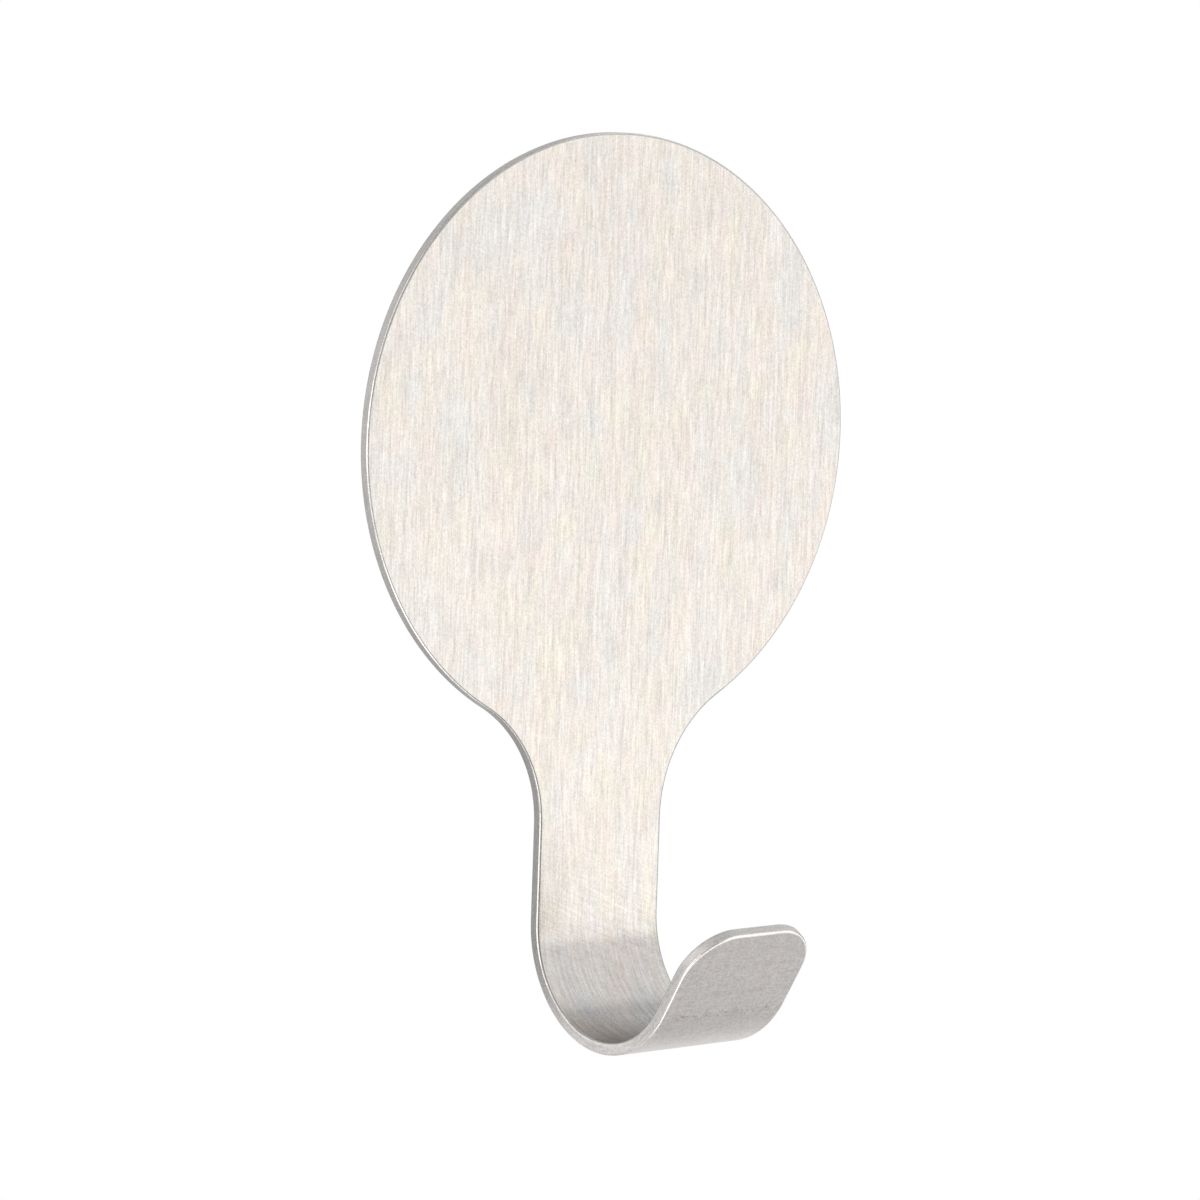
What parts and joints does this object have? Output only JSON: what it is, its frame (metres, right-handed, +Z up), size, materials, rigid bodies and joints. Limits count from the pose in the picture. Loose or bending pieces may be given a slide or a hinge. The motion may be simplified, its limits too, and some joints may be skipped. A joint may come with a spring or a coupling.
{
  "type": "adhesive wall hook",
  "caption": "Brushed steel wall hook: a round plate on a foam tape disc, with hollow shoulders, a flat neck and a J bend with a rounded tip for hanging towels or robes.",
  "frame": {"origin": "centre of the tape's face that sticks to the wall, on the round plate's axis", "axes": "+Y into the wall, +Z up, +X to the right of someone who faces the hook; the plate's front looks along -Y"},
  "size_m": [0.05, 0.0227, 0.0742],
  "materials": {
    "brushed_steel": "brushed stainless sheet, brushing lines along the neck",
    "adhesive": "clear pressure-sensitive adhesive, a slight gloss",
    "foam": "white closed-cell foam, matt"
  },
  "bodies": {
    "root": {"steel_hook": "brushed_steel", "plate_adhesive": "adhesive", "foam_core": "foam", "wall_adhesive": "adhesive"}
  },
  "joints": []
}
